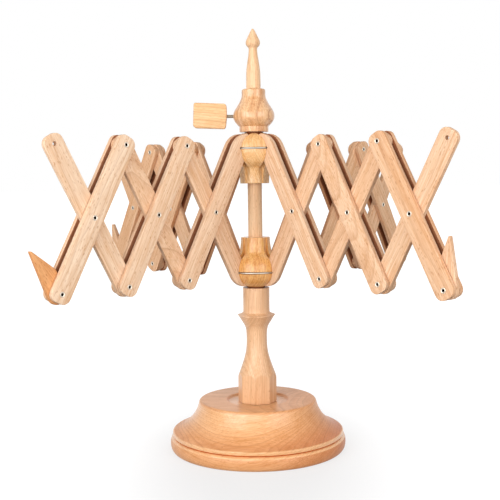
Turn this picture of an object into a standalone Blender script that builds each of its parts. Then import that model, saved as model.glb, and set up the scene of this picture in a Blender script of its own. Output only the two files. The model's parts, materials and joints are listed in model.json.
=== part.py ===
"""Tabletop yarn swift with four lazy-tong arms, in metres, +Z up.

The base stands on Z = 0 and the spindle is on the Z axis. Each arm is built in its own
frame, where X runs outward, Y is the axis of every hinge and Z is up.
"""

import math

import bmesh
import bpy
from mathutils import Matrix, Vector

MM = 0.001

# Clearances and overruns
GAP = 0.3 * MM
SLOT_CLEARANCE = 0.35 * MM
BORE_CLEARANCE = 0.3 * MM
SLIDE_CLEARANCE = 0.5 * MM
CUT_OVERRUN = 5 * MM
MERGE_DISTANCE = 0.002 * MM

# Slats
PIVOT_SPACING = 180 * MM
HALF_SPACING = PIVOT_SPACING / 2
HUB_REACH = 88.2 * MM
SLAT_WIDTH = 24 * MM
SLAT_THICKNESS = 6 * MM
SLAT_END_MARGIN = 10 * MM
SLAT_CORNER_RADIUS = 9 * MM
CELLS = 3
REST_TILT = math.radians(28.8)

# Rivets
RIVET_BORE_RADIUS = 1.6 * MM
RIVET_SHANK_RADIUS = 2.2 * MM
RIVET_FLANGE_RADIUS = 3.3 * MM
RIVET_FLANGE_THICKNESS = 0.5 * MM
RIVET_HOLE_RADIUS = RIVET_SHANK_RADIUS + BORE_CLEARANCE

# Pegs, each with one long flank and one short flank
PEG_LENGTH = 56.5 * MM
PEG_LOW_SHOULDER = 4 * MM
PEG_HIGH_SHOULDER = 25 * MM
PEG_TIP_WIDTH = 1.8 * MM

# Arms: name, direction from above, the lean of the arm's peg, and the side of its long flank
OUTWARD, INWARD = 1, -1
ARMS = (
    ("front_left", math.radians(225), math.radians(34), OUTWARD),
    ("front_right", math.radians(315), math.radians(2.3), OUTWARD),
    ("back_right", math.radians(45), math.radians(20), OUTWARD),
    ("back_left", math.radians(135), math.radians(20.6), INWARD),
)

# Wire rings
RING_RADIUS = 31.5 * MM
RING_WIRE_RADIUS = 1 * MM
RING_PIVOT_OFFSET = 0.4 * MM
RING_GROOVE_FLOOR_GAP = 0.6 * MM
PIVOT_RADIUS = RING_RADIUS - RING_PIVOT_OFFSET
RING_GROOVE_RADIUS = RING_RADIUS - RING_WIRE_RADIUS - RING_GROOVE_FLOOR_GAP

# Base
BASE_RADIUS = 112.2 * MM
BASE_HEIGHT = 61.7 * MM
BASE_RECESS_RADIUS = 38.5 * MM
BASE_RECESS_DEPTH = 3.2 * MM
BASE_RECESS_ROUND = 1.8 * MM
BASE_TOP_ROUND = 2.2 * MM

# Column
COLUMN_TOP = 205.4 * MM
COLUMN_RADIUS = 24.7 * MM
COLUMN_FLAT_DISTANCE = COLUMN_RADIUS * math.cos(math.pi / 8)
COLUMN_TURN = math.radians(40)
TENON_RADIUS = 12 * MM
TENON_LENGTH = 30 * MM
COLUMN_BORE_DEPTH = 110 * MM

# Spindle
SPINDLE_RADIUS = 9 * MM
SPINDLE_TOP = 530 * MM
SPINDLE_TAPER_LENGTH = 50 * MM
SPEAR_RADIUS = 8.9 * MM
SPEAR_LENGTH = 24 * MM
SPEAR_NECK_RADIUS = 5.5 * MM

# Hubs, measured from the plane of their ring
HUB_RADIUS = 32.6 * MM
HUB_CROWN = 20.5 * MM
HUB_SKIRT = 43.4 * MM
HUB_BOSS_RADIUS = 11.5 * MM
HUB_BOSS_HEIGHT = 1.3 * MM
SKIRT_SLOT_FLOOR = 17 * MM
CROWN_SLOT_FLOOR = 11.8 * MM
CROWN_SLOT_STEP = 6.5 * MM
LOWER_PIVOT_HEIGHT = COLUMN_TOP + GAP + HUB_CROWN

# Lock cap, its screw and its knob
CAP_RADIUS = 25.9 * MM
CAP_HEIGHT = 52.9 * MM
CAP_SCREW_HEIGHT = 20 * MM
SCREW_RADIUS = 2.25 * MM
SCREW_VISIBLE_LENGTH = 8 * MM
SCREW_DEPTH_IN_KNOB = 14 * MM
KNOB_LENGTH = 42 * MM
KNOB_HEIGHT = 31.6 * MM
KNOB_THICKNESS = 10 * MM
KNOB_CORNER_RADIUS = 3.5 * MM
KNOB_BOW = 1.2 * MM

# Round pieces: sides around the axis
SIDES_LARGE = 36
SIDES_HUB = 32
SIDES_SMALL = 20
SIDES_RIVET = 8
SIDES_WIRE = 6
CORNER_STEPS = 3

# Derived places
MIDDLE_LAYER = (-SLAT_THICKNESS / 2, SLAT_THICKNESS / 2)
OUTER_LAYER_START = SLAT_THICKNESS / 2 + GAP
STACK_HALF = OUTER_LAYER_START + SLAT_THICKNESS
OUTER_LAYERS = ((-STACK_HALF, -OUTER_LAYER_START), (OUTER_LAYER_START, STACK_HALF))
CELL_WIDTH = PIVOT_SPACING * math.sin(REST_TILT)
FIRST_CROSSING = PIVOT_RADIUS + HUB_REACH * math.sin(REST_TILT)
CROSSING_HEIGHT = LOWER_PIVOT_HEIGHT + HUB_REACH * math.cos(REST_TILT)
FOOT_HEIGHT = CROSSING_HEIGHT - HALF_SPACING * math.cos(REST_TILT)
UPPER_PIVOT_HEIGHT = 2 * CROSSING_HEIGHT - LOWER_PIVOT_HEIGHT
HUB_END_REACH = PIVOT_RADIUS - CROWN_SLOT_FLOOR
RISE_END_HOLE_RADIUS = RING_WIRE_RADIUS + RING_PIVOT_OFFSET + BORE_CLEARANCE
RING_SAG = RING_RADIUS - math.sqrt(RING_RADIUS ** 2 - STACK_HALF ** 2)
FALL_END_HOLE_RADIUS = RING_WIRE_RADIUS + RING_SAG - RING_PIVOT_OFFSET + BORE_CLEARANCE
CAP_BOTTOM = UPPER_PIVOT_HEIGHT + HUB_CROWN + GAP
SCREW_HEIGHT = CAP_BOTTOM + CAP_SCREW_HEIGHT
COLUMN_FOOT = BASE_HEIGHT - BASE_RECESS_DEPTH + GAP
SPINDLE_BOTTOM = COLUMN_TOP - COLUMN_BORE_DEPTH + GAP

# Outlines of the turned pieces as shares of their radius and height, from top to bottom
BASE_OUTLINE_SHARES = (
    (0.669, 0.965), (0.68, 0.9), (0.688, 0.845), (0.714, 0.745), (0.757, 0.628),
    (0.822, 0.514), (0.895, 0.422), (0.965, 0.38), (0.974, 0.36), (0.974, 0.308),
    (0.957, 0.292), (0.957, 0.268), (0.98, 0.262), (0.995, 0.225), (1.0, 0.145),
    (0.994, 0.055), (0.977, 0.0),
)
COLUMN_OUTLINE_SHARES = (
    (0.684, 0.0), (0.684, 0.205), (0.73, 0.222), (0.98, 0.239), (0.9, 0.252), (0.765, 0.29),
    (0.62, 0.328), (0.56, 0.36), (0.53, 0.41), (0.53, 0.485), (0.57, 0.56), (0.695, 0.64),
    (0.86, 0.717), (0.945, 0.756), (1.03, 0.81),
)
HUB_CROWN_SHARES = (
    (0.455, -1.0), (0.6, -0.9), (0.755, -0.75), (0.87, -0.58), (0.94, -0.385), (0.98, -0.2),
)
HUB_SKIRT_SHARES = (
    (0.994, 0.115), (0.957, 0.235), (0.877, 0.36), (0.776, 0.452), (0.693, 0.505),
    (0.638, 0.558), (0.607, 0.634), (0.583, 0.737), (0.564, 0.853), (0.555, 1.0),
)
CAP_OUTLINE_SHARES = (
    (0.52, 1.0), (0.568, 0.965), (0.571, 0.875), (0.592, 0.81), (0.65, 0.74), (0.715, 0.67),
    (0.8, 0.605), (0.89, 0.54), (0.97, 0.46), (1.0, 0.38), (0.985, 0.31), (0.925, 0.245),
    (0.815, 0.175), (0.727, 0.13), (0.705, 0.12), (0.7, 0.0),
)
SPEAR_OUTLINE_SHARES = (
    (0.0, 1.0), (0.33, 0.835), (0.57, 0.665), (0.79, 0.49), (0.94, 0.375), (1.0, 0.26),
    (0.965, 0.165), (0.8, 0.09),
)
TAPER_OUTLINE_SHARES = ((0.59, 0.96), (0.65, 0.84), (0.78, 0.7), (0.89, 0.56), (0.96, 0.4),
                        (1.0, 0.2))
KNOB_FLAT_SHARE = 0.5

# A slat's trimmed end in a hub as shares of its half width and of its reach, outward first
HUB_END_SHARES = (
    (1.0, 0.08), (0.91, 0.34), (0.7, 0.58), (0.385, 0.83), (0.07, 1.015), (-0.1, 1.08),
    (-1.0, 0.755),
)

# Colours, linear
BEECH = (0.74, 0.47, 0.25)
HONEY = (0.62, 0.33, 0.13)
STEEL = (0.55, 0.56, 0.58)


def clear_scene():
    for item in list(bpy.data.objects):
        bpy.data.objects.remove(item, do_unlink=True)


def make_material(name, colour, roughness, metallic):
    material = bpy.data.materials.new(name)
    material.use_nodes = True
    shader = material.node_tree.nodes["Principled BSDF"]
    shader.inputs["Base Color"].default_value = (*colour, 1)
    shader.inputs["Roughness"].default_value = roughness
    shader.inputs["Metallic"].default_value = metallic
    return material


def wood(name, colour):
    return make_material(name, colour, 0.5, 0)


def steel(name):
    return make_material(name, STEEL, 0.3, 1)


def add_object(name, bm, material, parent=None, location=(0, 0, 0), tilt=0):
    """Makes an object from a bmesh; tilt is its turn about its own Y."""
    bmesh.ops.remove_doubles(bm, verts=bm.verts, dist=MERGE_DISTANCE)
    bmesh.ops.recalc_face_normals(bm, faces=bm.faces)
    mesh = bpy.data.meshes.new(name)
    bm.to_mesh(mesh)
    bm.free()
    mesh.materials.append(material)
    mesh.shade_smooth()
    mesh.set_sharp_from_angle(angle=math.radians(35))
    item = bpy.data.objects.new(name, mesh)
    bpy.context.collection.objects.link(item)
    item.parent = parent
    item.location = location
    item.rotation_euler = (0, tilt, 0)
    return item


def add_empty(name, location, turn=0, parent=None):
    item = bpy.data.objects.new(name, None)
    bpy.context.collection.objects.link(item)
    item.parent = parent
    item.location = location
    item.rotation_euler = (0, 0, turn)
    return item


def add_cutter(item, name, bm):
    """Cuts the mesh in bm out of an object with a Boolean that stays on it."""
    bmesh.ops.remove_doubles(bm, verts=bm.verts, dist=MERGE_DISTANCE)
    bmesh.ops.recalc_face_normals(bm, faces=bm.faces)
    mesh = bpy.data.meshes.new(name)
    bm.to_mesh(mesh)
    bm.free()
    cutter = bpy.data.objects.new(name, mesh)
    bpy.context.collection.objects.link(cutter)
    cutter.parent = item
    cutter.hide_render = True
    cutter.display_type = "WIRE"
    modifier = item.modifiers.new(name, "BOOLEAN")
    modifier.operation = "DIFFERENCE"
    modifier.solver = "EXACT"
    modifier.object = cutter
    return modifier


def revolve(bm, outline, sides, matrix=Matrix(), closed=True):
    """Turns (radius, height) points about Z, and joins the last ring to the first."""
    rings = []
    for radius, height in outline:
        count = sides if radius > MERGE_DISTANCE else 1
        ring = []
        for step in range(count):
            angle = math.tau * step / sides
            point = Vector((radius * math.cos(angle), radius * math.sin(angle), height))
            ring.append(bm.verts.new(matrix @ point))
        rings.append(ring)
    pairs = list(zip(rings, rings[1:]))
    if closed and len(rings[0]) > 1:
        pairs.append((rings[-1], rings[0]))
    for upper, lower in pairs:
        for step in range(sides):
            after = (step + 1) % sides
            corners = [upper[step % len(upper)], lower[step % len(lower)],
                       lower[after % len(lower)], upper[after % len(upper)]]
            bm.faces.new(list(dict.fromkeys(corners)))


def scaled(shares, radius, height, start=0):
    """Real (radius, height) points from an outline of shares."""
    return [(share_r * radius, start + share_h * height) for share_r, share_h in shares]


def arc(centre_x, centre_z, radius, start, end, steps):
    """Points of an arc in the XZ plane, both ends included."""
    points = []
    for step in range(steps + 1):
        angle = start + (end - start) * step / steps
        points.append((centre_x + radius * math.cos(angle), centre_z + radius * math.sin(angle)))
    return points


def circle(centre_z, radius, sides):
    """Points of a hole's edge in the XZ plane, around a centre on X = 0."""
    turn = math.tau / sides
    return [(radius * math.cos(turn * step), centre_z + radius * math.sin(turn * step))
            for step in range(sides)]


def plate(bm, outline, holes, near, far, pinned=()):
    """A flat board in the XZ plane between two places along Y.

    Each hole goes through. Each pinned loop is left open in both faces, for a pin to close.
    """
    for along in (near, far):
        edges = []
        for loop in [outline, *holes, *pinned]:
            verts = [bm.verts.new((x, along, z)) for x, z in loop]
            edges += [bm.edges.new(pair) for pair in zip(verts, verts[1:] + verts[:1])]
        bmesh.ops.triangle_fill(bm, edges=edges, use_beauty=True, normal=(0, 1, 0))
    for loop in [outline, *holes]:
        for (x, z), (next_x, next_z) in zip(loop, loop[1:] + loop[:1]):
            corners = [(x, near, z), (x, far, z), (next_x, far, next_z), (next_x, near, next_z)]
            bm.faces.new([bm.verts.new(corner) for corner in corners])


def build_base():
    """The turned foot, with a recess in its top and a blind hole for the column's tenon."""
    outer = scaled(BASE_OUTLINE_SHARES, BASE_RADIUS, BASE_HEIGHT)
    rim = outer[0][0] - BASE_TOP_ROUND
    recess_floor = BASE_HEIGHT - BASE_RECESS_DEPTH
    hole = TENON_RADIUS + BORE_CLEARANCE
    hole_floor = COLUMN_FOOT - TENON_LENGTH - GAP
    outline = [
        (0, hole_floor),
        (hole, hole_floor),
        (hole, recess_floor),
        (BASE_RECESS_RADIUS - BASE_RECESS_ROUND, recess_floor),
        (BASE_RECESS_RADIUS, recess_floor + BASE_RECESS_ROUND),
        (BASE_RECESS_RADIUS + BASE_RECESS_ROUND, BASE_HEIGHT),
        (rim, BASE_HEIGHT),
    ] + outer + [(0, 0)]
    bm = bmesh.new()
    revolve(bm, outline, SIDES_LARGE)
    return add_object("base", bm, wood("base_beech", BEECH))


def octagon_prism(bm, flat_distance, turn, low, high):
    """An upright octagon that holds the column's facets."""
    radius = flat_distance / math.cos(math.pi / 8)
    turned = Matrix.Rotation(turn, 4, "Z")
    revolve(bm, [(0, high), (radius, high), (radius, low), (0, low)], 8, turned)


def build_column():
    """Turned above, octagonal below, with a bore for the spindle and a tenon underneath."""
    height = COLUMN_TOP - COLUMN_FOOT
    bore = SPINDLE_RADIUS + BORE_CLEARANCE
    bore_floor = COLUMN_TOP - COLUMN_BORE_DEPTH
    outer = [(radius, COLUMN_TOP - drop) for radius, drop in
             scaled(COLUMN_OUTLINE_SHARES, COLUMN_RADIUS, height)]
    outline = [(0, bore_floor), (bore, bore_floor), (bore, COLUMN_TOP)] + outer
    outline += [(outer[-1][0], COLUMN_FOOT), (TENON_RADIUS, COLUMN_FOOT),
                (TENON_RADIUS, COLUMN_FOOT - TENON_LENGTH), (0, COLUMN_FOOT - TENON_LENGTH)]
    bm = bmesh.new()
    revolve(bm, outline, SIDES_HUB)
    column = add_object("column", bm, wood("column_beech", BEECH))
    prism = bmesh.new()
    octagon_prism(prism, COLUMN_FLAT_DISTANCE, COLUMN_TURN,
                  COLUMN_FOOT - TENON_LENGTH - CUT_OVERRUN, COLUMN_TOP + CUT_OVERRUN)
    facets = add_cutter(column, "column_facets", prism)
    facets.operation = "INTERSECT"
    return column


def build_spindle():
    """The dowel that carries both hubs, tapered to a neck below its spear-shaped tip."""
    neck = SPINDLE_TOP - SPEAR_LENGTH
    spear = scaled(SPEAR_OUTLINE_SHARES, SPEAR_RADIUS, SPEAR_LENGTH, neck)
    taper_start = neck - SPINDLE_TAPER_LENGTH
    taper = scaled(TAPER_OUTLINE_SHARES, SPINDLE_RADIUS, SPINDLE_TAPER_LENGTH, taper_start)
    outline = spear + [(SPEAR_NECK_RADIUS, neck)] + taper
    outline += [(SPINDLE_RADIUS, SPINDLE_BOTTOM), (0, SPINDLE_BOTTOM)]
    bm = bmesh.new()
    revolve(bm, outline, SIDES_SMALL)
    return add_object("spindle", bm, wood("spindle_beech", BEECH))


def hub_mesh(bore, facing):
    """One hub around its ring's plane; facing is 1 where its skirt points up."""
    crown = scaled(HUB_CROWN_SHARES, HUB_RADIUS, HUB_CROWN - HUB_BOSS_HEIGHT)
    boss = [(bore, -HUB_CROWN), (HUB_BOSS_RADIUS, -HUB_CROWN), (HUB_BOSS_RADIUS, crown[0][1])]
    skirt = scaled(HUB_SKIRT_SHARES, HUB_RADIUS, HUB_SKIRT)
    half_groove = RING_WIRE_RADIUS + GAP
    groove = [(HUB_RADIUS, -half_groove), (RING_GROOVE_RADIUS, -half_groove),
              (RING_GROOVE_RADIUS, half_groove), (HUB_RADIUS, half_groove)]
    outline = boss + crown + groove + skirt + [(bore, HUB_SKIRT)]
    bm = bmesh.new()
    revolve(bm, [(radius, facing * height) for radius, height in outline], SIDES_HUB)
    return bm


def cut_slots(hub, facing, layers):
    """Cuts the slots that the slats' ends turn in, deeper where the trimmed ends swing."""
    rim = HUB_RADIUS + CUT_OVERRUN
    crown_end = -HUB_CROWN - CUT_OVERRUN
    skirt_end = HUB_SKIRT + CUT_OVERRUN
    outline = [(CROWN_SLOT_FLOOR, crown_end), (rim, crown_end), (rim, skirt_end),
               (SKIRT_SLOT_FLOOR, skirt_end), (SKIRT_SLOT_FLOOR, CROWN_SLOT_STEP),
               (CROWN_SLOT_FLOOR, CROWN_SLOT_STEP)]
    outline = [(x, facing * z) for x, z in outline]
    for arm, direction, lean, long_side in ARMS:
        bm = bmesh.new()
        for near, far in layers:
            plate(bm, outline, [], near - SLOT_CLEARANCE, far + SLOT_CLEARANCE)
        bmesh.ops.rotate(bm, verts=bm.verts, cent=(0, 0, 0),
                         matrix=Matrix.Rotation(direction, 3, "Z"))
        add_cutter(hub, arm + "_slots", bm)


def ring_mesh():
    """A closed wire ring around the origin."""
    bm = bmesh.new()
    section = [(RING_RADIUS + RING_WIRE_RADIUS * math.cos(math.tau * step / SIDES_WIRE),
                RING_WIRE_RADIUS * math.sin(math.tau * step / SIDES_WIRE))
               for step in range(SIDES_WIRE)]
    revolve(bm, section, SIDES_HUB)
    return bm


def build_hubs():
    """The lower hub turns with the spindle and the upper hub slides on it."""
    golden = wood("hub_honey", HONEY)
    lower = add_object("lower_hub", hub_mesh(SPINDLE_RADIUS + BORE_CLEARANCE, 1), golden,
                       location=(0, 0, LOWER_PIVOT_HEIGHT))
    cut_slots(lower, 1, (MIDDLE_LAYER,))
    add_object("lower_ring", ring_mesh(), steel("ring_steel"),
               location=(0, 0, LOWER_PIVOT_HEIGHT))
    direction = ARMS[0][1]
    reach = Vector((PIVOT_RADIUS * math.cos(direction), PIVOT_RADIUS * math.sin(direction), 0))
    hinge = add_empty("upper_hub_hinge", reach + Vector((0, 0, UPPER_PIVOT_HEIGHT)))
    upper = add_object("upper_hub", hub_mesh(SPINDLE_RADIUS + SLIDE_CLEARANCE, -1), golden,
                       hinge, -reach)
    cut_slots(upper, -1, OUTER_LAYERS)
    add_object("upper_ring", ring_mesh(), steel("upper_ring_steel"), hinge, -reach)


def build_lock():
    """The cap on the spindle, with its screw and wooden thumb knob on the -X side."""
    bore = SPINDLE_RADIUS + SLIDE_CLEARANCE
    outline = [(bore, CAP_HEIGHT)] + scaled(CAP_OUTLINE_SHARES, CAP_RADIUS, CAP_HEIGHT)
    outline.append((bore, 0))
    bm = bmesh.new()
    revolve(bm, outline, SIDES_HUB)
    cap = add_object("lock_cap", bm, wood("cap_honey", HONEY), location=(0, 0, CAP_BOTTOM))
    along_x = Matrix.Rotation(-math.pi / 2, 4, "Y")
    hole = bmesh.new()
    hole_radius = SCREW_RADIUS + BORE_CLEARANCE
    revolve(hole, [(0, CAP_RADIUS + CUT_OVERRUN), (hole_radius, CAP_RADIUS + CUT_OVERRUN),
                   (hole_radius, 0), (0, 0)], SIDES_SMALL // 2,
            Matrix.Translation((0, 0, CAP_SCREW_HEIGHT)) @ along_x)
    add_cutter(cap, "cap_screw_hole", hole)

    tip = SPINDLE_RADIUS + GAP
    knob_start = CAP_RADIUS + SCREW_VISIBLE_LENGTH
    screw_end = knob_start + SCREW_DEPTH_IN_KNOB
    bm = bmesh.new()
    revolve(bm, [(0, screw_end), (SCREW_RADIUS, screw_end), (SCREW_RADIUS, tip), (0, tip)],
            SIDES_SMALL // 2, along_x)
    add_object("lock_screw", bm, steel("screw_steel"), location=(0, 0, SCREW_HEIGHT))

    bm = bmesh.new()
    half = KNOB_HEIGHT / 2
    near = knob_start + KNOB_BOW
    far = knob_start + KNOB_LENGTH
    right_angle = math.pi / 2
    inner = KNOB_CORNER_RADIUS
    outline = arc(-near - inner, half - inner, inner, right_angle, 0, 2)
    outline += [(-knob_start, half * KNOB_FLAT_SHARE), (-knob_start, -half * KNOB_FLAT_SHARE)]
    outline += arc(-near - inner, inner - half, inner, 0, -right_angle, 2)
    outline += arc(-far + inner, inner - half, inner, -right_angle, -2 * right_angle, 2)
    outline += arc(-far + inner, half - inner, inner, 2 * right_angle, right_angle, 2)
    plate(bm, outline, [], -KNOB_THICKNESS / 2, KNOB_THICKNESS / 2)
    knob = add_object("lock_knob", bm, wood("knob_beech", BEECH), location=(0, 0, SCREW_HEIGHT))
    socket = bmesh.new()
    revolve(socket, [(0, screw_end + GAP), (hole_radius, screw_end + GAP),
                     (hole_radius, 0), (0, 0)], SIDES_SMALL // 2, along_x)
    add_cutter(knob, "knob_screw_hole", socket)


def rounded_end(height, facing):
    """The end of a slat with two rounded corners; facing is 1 for its upper end."""
    side = SLAT_WIDTH / 2 - SLAT_CORNER_RADIUS
    centre = height - SLAT_CORNER_RADIUS
    quarter = math.pi / 2
    points = (arc(side, centre, SLAT_CORNER_RADIUS, 0, quarter, CORNER_STEPS)
              + arc(-side, centre, SLAT_CORNER_RADIUS, quarter, 2 * quarter, CORNER_STEPS))
    return [(x, facing * z) for x, z in points]


def hub_end(height, facing):
    """The end of a slat that is trimmed to follow its hub; facing is 1 for its upper end."""
    end = scaled(HUB_END_SHARES, SLAT_WIDTH / 2, HUB_END_REACH, height)
    return [(across, facing * beyond) for across, beyond in end]


def slat_mesh(heights, layer, hole_radii, pins=(), trimmed=0):
    """One slat along Z, with its three pivots at heights that run upward.

    hole_radii belong to the pivots, with None for a pivot that pins lists. trimmed is 1 or
    -1 where the upper or lower end is in a hub.
    """
    ends = []
    for facing, pivot in ((1, heights[-1]), (-1, -heights[0])):
        if facing == trimmed:
            ends.append(hub_end(pivot, facing))
        else:
            ends.append(rounded_end(pivot + SLAT_END_MARGIN, facing))
    outline = ends[0] + ends[1][::-1]
    holes = [circle(height, radius, SIDES_RIVET)
             for height, radius in zip(heights, hole_radii) if radius is not None]
    pinned = [circle(heights[place], RIVET_SHANK_RADIUS, SIDES_RIVET) for place in pins]
    bm = bmesh.new()
    plate(bm, outline, holes, *layer, pinned)
    for place in pins:
        add_pin(bm, heights[place])
    return bm


def rivet_side():
    """The rivet's outer half as (radius, place along Y) points, from its shank to its bore."""
    inner = STACK_HALF + GAP
    outer = inner + RIVET_FLANGE_THICKNESS
    return [(RIVET_SHANK_RADIUS, inner), (RIVET_FLANGE_RADIUS, inner),
            (RIVET_FLANGE_RADIUS, outer), (RIVET_BORE_RADIUS, outer)]


def mirrored(points):
    """The same points on the other side, in the opposite order."""
    return [(radius, -along) for radius, along in reversed(points)]


def across(height):
    """Turns a Z axis into the arm's Y axis, at a height."""
    return Matrix.Translation((0, 0, height)) @ Matrix.Rotation(-math.pi / 2, 4, "X")


def add_pin(bm, height):
    """A tubular rivet set tight in a middle slat, which the outer slats turn on."""
    half = [(RIVET_SHANK_RADIUS, MIDDLE_LAYER[1])] + rivet_side()
    revolve(bm, half + mirrored(half), SIDES_RIVET, across(height), closed=False)


def tip_rivet_mesh():
    """The loose tubular rivet through the peg and the last pair of outer slats."""
    bm = bmesh.new()
    half = rivet_side()
    revolve(bm, half + mirrored(half), SIDES_RIVET, across(0))
    return bm


def peg_mesh(long_side):
    """A pointed peg along Z, with its pivot at the origin."""
    half = SLAT_WIDTH / 2
    tip = PEG_TIP_WIDTH / 2
    side = half - SLAT_CORNER_RADIUS
    bottom = SLAT_CORNER_RADIUS - SLAT_END_MARGIN
    quarter = math.pi / 2
    outline = [(half, PEG_LOW_SHOULDER), (tip, PEG_LENGTH - tip), (0, PEG_LENGTH),
               (-tip, PEG_LENGTH - tip), (-half, PEG_HIGH_SHOULDER)]
    corner = SLAT_CORNER_RADIUS
    outline += arc(-side, bottom, corner, 2 * quarter, 3 * quarter, CORNER_STEPS)
    outline += arc(side, bottom, corner, 3 * quarter, 4 * quarter, CORNER_STEPS)
    outline = [(long_side * x, z) for x, z in outline]
    bm = bmesh.new()
    plate(bm, outline, [circle(0, RIVET_HOLE_RADIUS, SIDES_RIVET)], *MIDDLE_LAYER)
    return bm


def build_cell(arm, frame, cell):
    """One rising slat in the middle layer and two falling slats on either side of it."""
    number = str(cell + 1)
    crossing_x = FIRST_CROSSING + cell * CELL_WIDTH
    foot_x = crossing_x - HALF_SPACING * math.sin(REST_TILT)
    foot_height = FOOT_HEIGHT
    reach = HALF_SPACING
    holes = [None, None, None]
    top_radius = RIVET_HOLE_RADIUS
    if cell == 0:
        foot_x = PIVOT_RADIUS
        foot_height = LOWER_PIVOT_HEIGHT
        reach = HUB_REACH
        holes[0] = RISE_END_HOLE_RADIUS
        top_radius = FALL_END_HOLE_RADIUS
    if cell == CELLS - 1:
        holes[2] = RIVET_HOLE_RADIUS
    pins = [place for place, radius in enumerate(holes) if radius is None]
    rise = slat_mesh((0, reach, reach + HALF_SPACING), MIDDLE_LAYER, holes, pins,
                     -1 if cell == 0 else 0)
    add_object(arm + "_rise_slat_" + number, rise,
               wood(arm + "_rise_beech_" + number, BEECH), frame, (foot_x, 0, foot_height),
               REST_TILT)
    for side, layer in zip(("_right", "_left"), OUTER_LAYERS):
        fall = slat_mesh((-HALF_SPACING, 0, reach), layer,
                         (RIVET_HOLE_RADIUS, RIVET_HOLE_RADIUS, top_radius),
                         trimmed=1 if cell == 0 else 0)
        add_object(arm + "_fall_slat_" + number + side, fall,
                   wood(arm + "_fall_beech_" + number + side, BEECH), frame,
                   (crossing_x, 0, CROSSING_HEIGHT), -REST_TILT)


def build_arm(arm, direction, lean, long_side):
    """Three lazy-tong cells from the hubs outward, and the peg on the last one."""
    frame = add_empty(arm + "_arm", (0, 0, 0), direction)
    for cell in range(CELLS):
        build_cell(arm, frame, cell)
    end_x = FIRST_CROSSING + (CELLS - 0.5) * CELL_WIDTH
    end = (end_x, 0, FOOT_HEIGHT)
    add_object(arm + "_tip_rivet", tip_rivet_mesh(), steel(arm + "_tip_rivet_steel"),
               frame, end, -REST_TILT)
    add_object(arm + "_peg", peg_mesh(long_side), wood(arm + "_peg_beech", BEECH), frame,
               end, lean)


def main():
    clear_scene()
    build_base()
    build_column()
    build_spindle()
    build_hubs()
    build_lock()
    for arm, direction, lean, long_side in ARMS:
        build_arm(arm, direction, lean, long_side)


main()
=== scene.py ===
"""Tabletop yarn swift: a turned beech stand, a spindle with two hubs, and four lazy-tong arms.

Each operator models one piece or one group of like pieces at rest, in metres, over the
solids of the part. Millimetres are written as such and multiplied by MM.
"""

import json
import math
import random

import bpy
from mathutils import Matrix, Vector


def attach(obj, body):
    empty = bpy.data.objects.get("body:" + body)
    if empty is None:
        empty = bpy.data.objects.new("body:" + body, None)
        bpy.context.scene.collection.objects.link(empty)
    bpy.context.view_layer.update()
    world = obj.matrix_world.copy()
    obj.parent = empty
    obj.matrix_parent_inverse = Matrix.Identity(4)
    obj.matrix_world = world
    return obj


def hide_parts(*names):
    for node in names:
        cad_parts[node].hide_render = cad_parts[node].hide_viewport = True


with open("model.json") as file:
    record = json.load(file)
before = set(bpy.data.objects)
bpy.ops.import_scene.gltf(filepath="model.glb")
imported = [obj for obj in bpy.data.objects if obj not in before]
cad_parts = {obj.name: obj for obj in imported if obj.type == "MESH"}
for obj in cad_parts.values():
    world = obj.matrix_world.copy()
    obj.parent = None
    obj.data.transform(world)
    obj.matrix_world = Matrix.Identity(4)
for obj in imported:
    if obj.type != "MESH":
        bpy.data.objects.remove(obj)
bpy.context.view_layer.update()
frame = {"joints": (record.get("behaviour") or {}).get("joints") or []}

bl_info = {
    "name": "Yarn Swift",
    "version": (1, 0, 0),
    "blender": (4, 5, 0),
    "location": "View3D > Sidebar > Yarn Swift",
    "description": "Models a wooden tabletop yarn swift and its studio",
    "category": "Add Mesh",
}

MM = 0.001
# Points nearer to each other than this are one point
DOUBLE = 0.004 * MM
JOINTS = {joint["name"]: joint for joint in frame["joints"]}
ARMS = ("front_left", "front_right", "back_right", "back_left")
CELLS = (1, 2, 3)

# Places along the spindle's axis, in mm
LOWER_RING_Z = 226.2
UPPER_RING_Z = 380.78
SCREW_Z = 421.58
# Wood beyond the end pivot of a slat or a peg
END_MARGIN = 10 * MM

# Turned outlines as runs of (radius, height) in mm: a run of three or more points is a
# curve, and two runs meet in a lightly eased edge
BASE_RUNS = (
    ((0, 28.5), (12.3, 28.5)),
    ((12.3, 28.5), (12.3, 58.5)),
    ((12.3, 58.5), (34.6, 58.5)),
    ((34.6, 58.5), (36.6, 58.8), (38.2, 60.0), (39.4, 61.2), (41.2, 61.7)),
    ((41.2, 61.7), (71.6, 61.7)),
    ((71.6, 61.7), (73.6, 61.2), (74.9, 59.6), (76.1, 55.8), (77.3, 51.9), (80.1, 46.0),
     (84.9, 38.7), (92.2, 31.7), (100.2, 26.2), (107.9, 23.2)),
    ((107.9, 23.2), (109.2, 22.6)),
    ((109.2, 22.6), (109.2, 18.9)),
    ((109.2, 18.9), (107.3, 18.3)),
    ((107.3, 18.3), (107.3, 17.3)),
    ((107.3, 17.3), (109.7, 16.3), (111.3, 14.2), (112.2, 9.0), (111.6, 3.6), (110.0, 0.6),
     (108.6, 0)),
    ((108.6, 0), (0, 0)),
)
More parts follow.
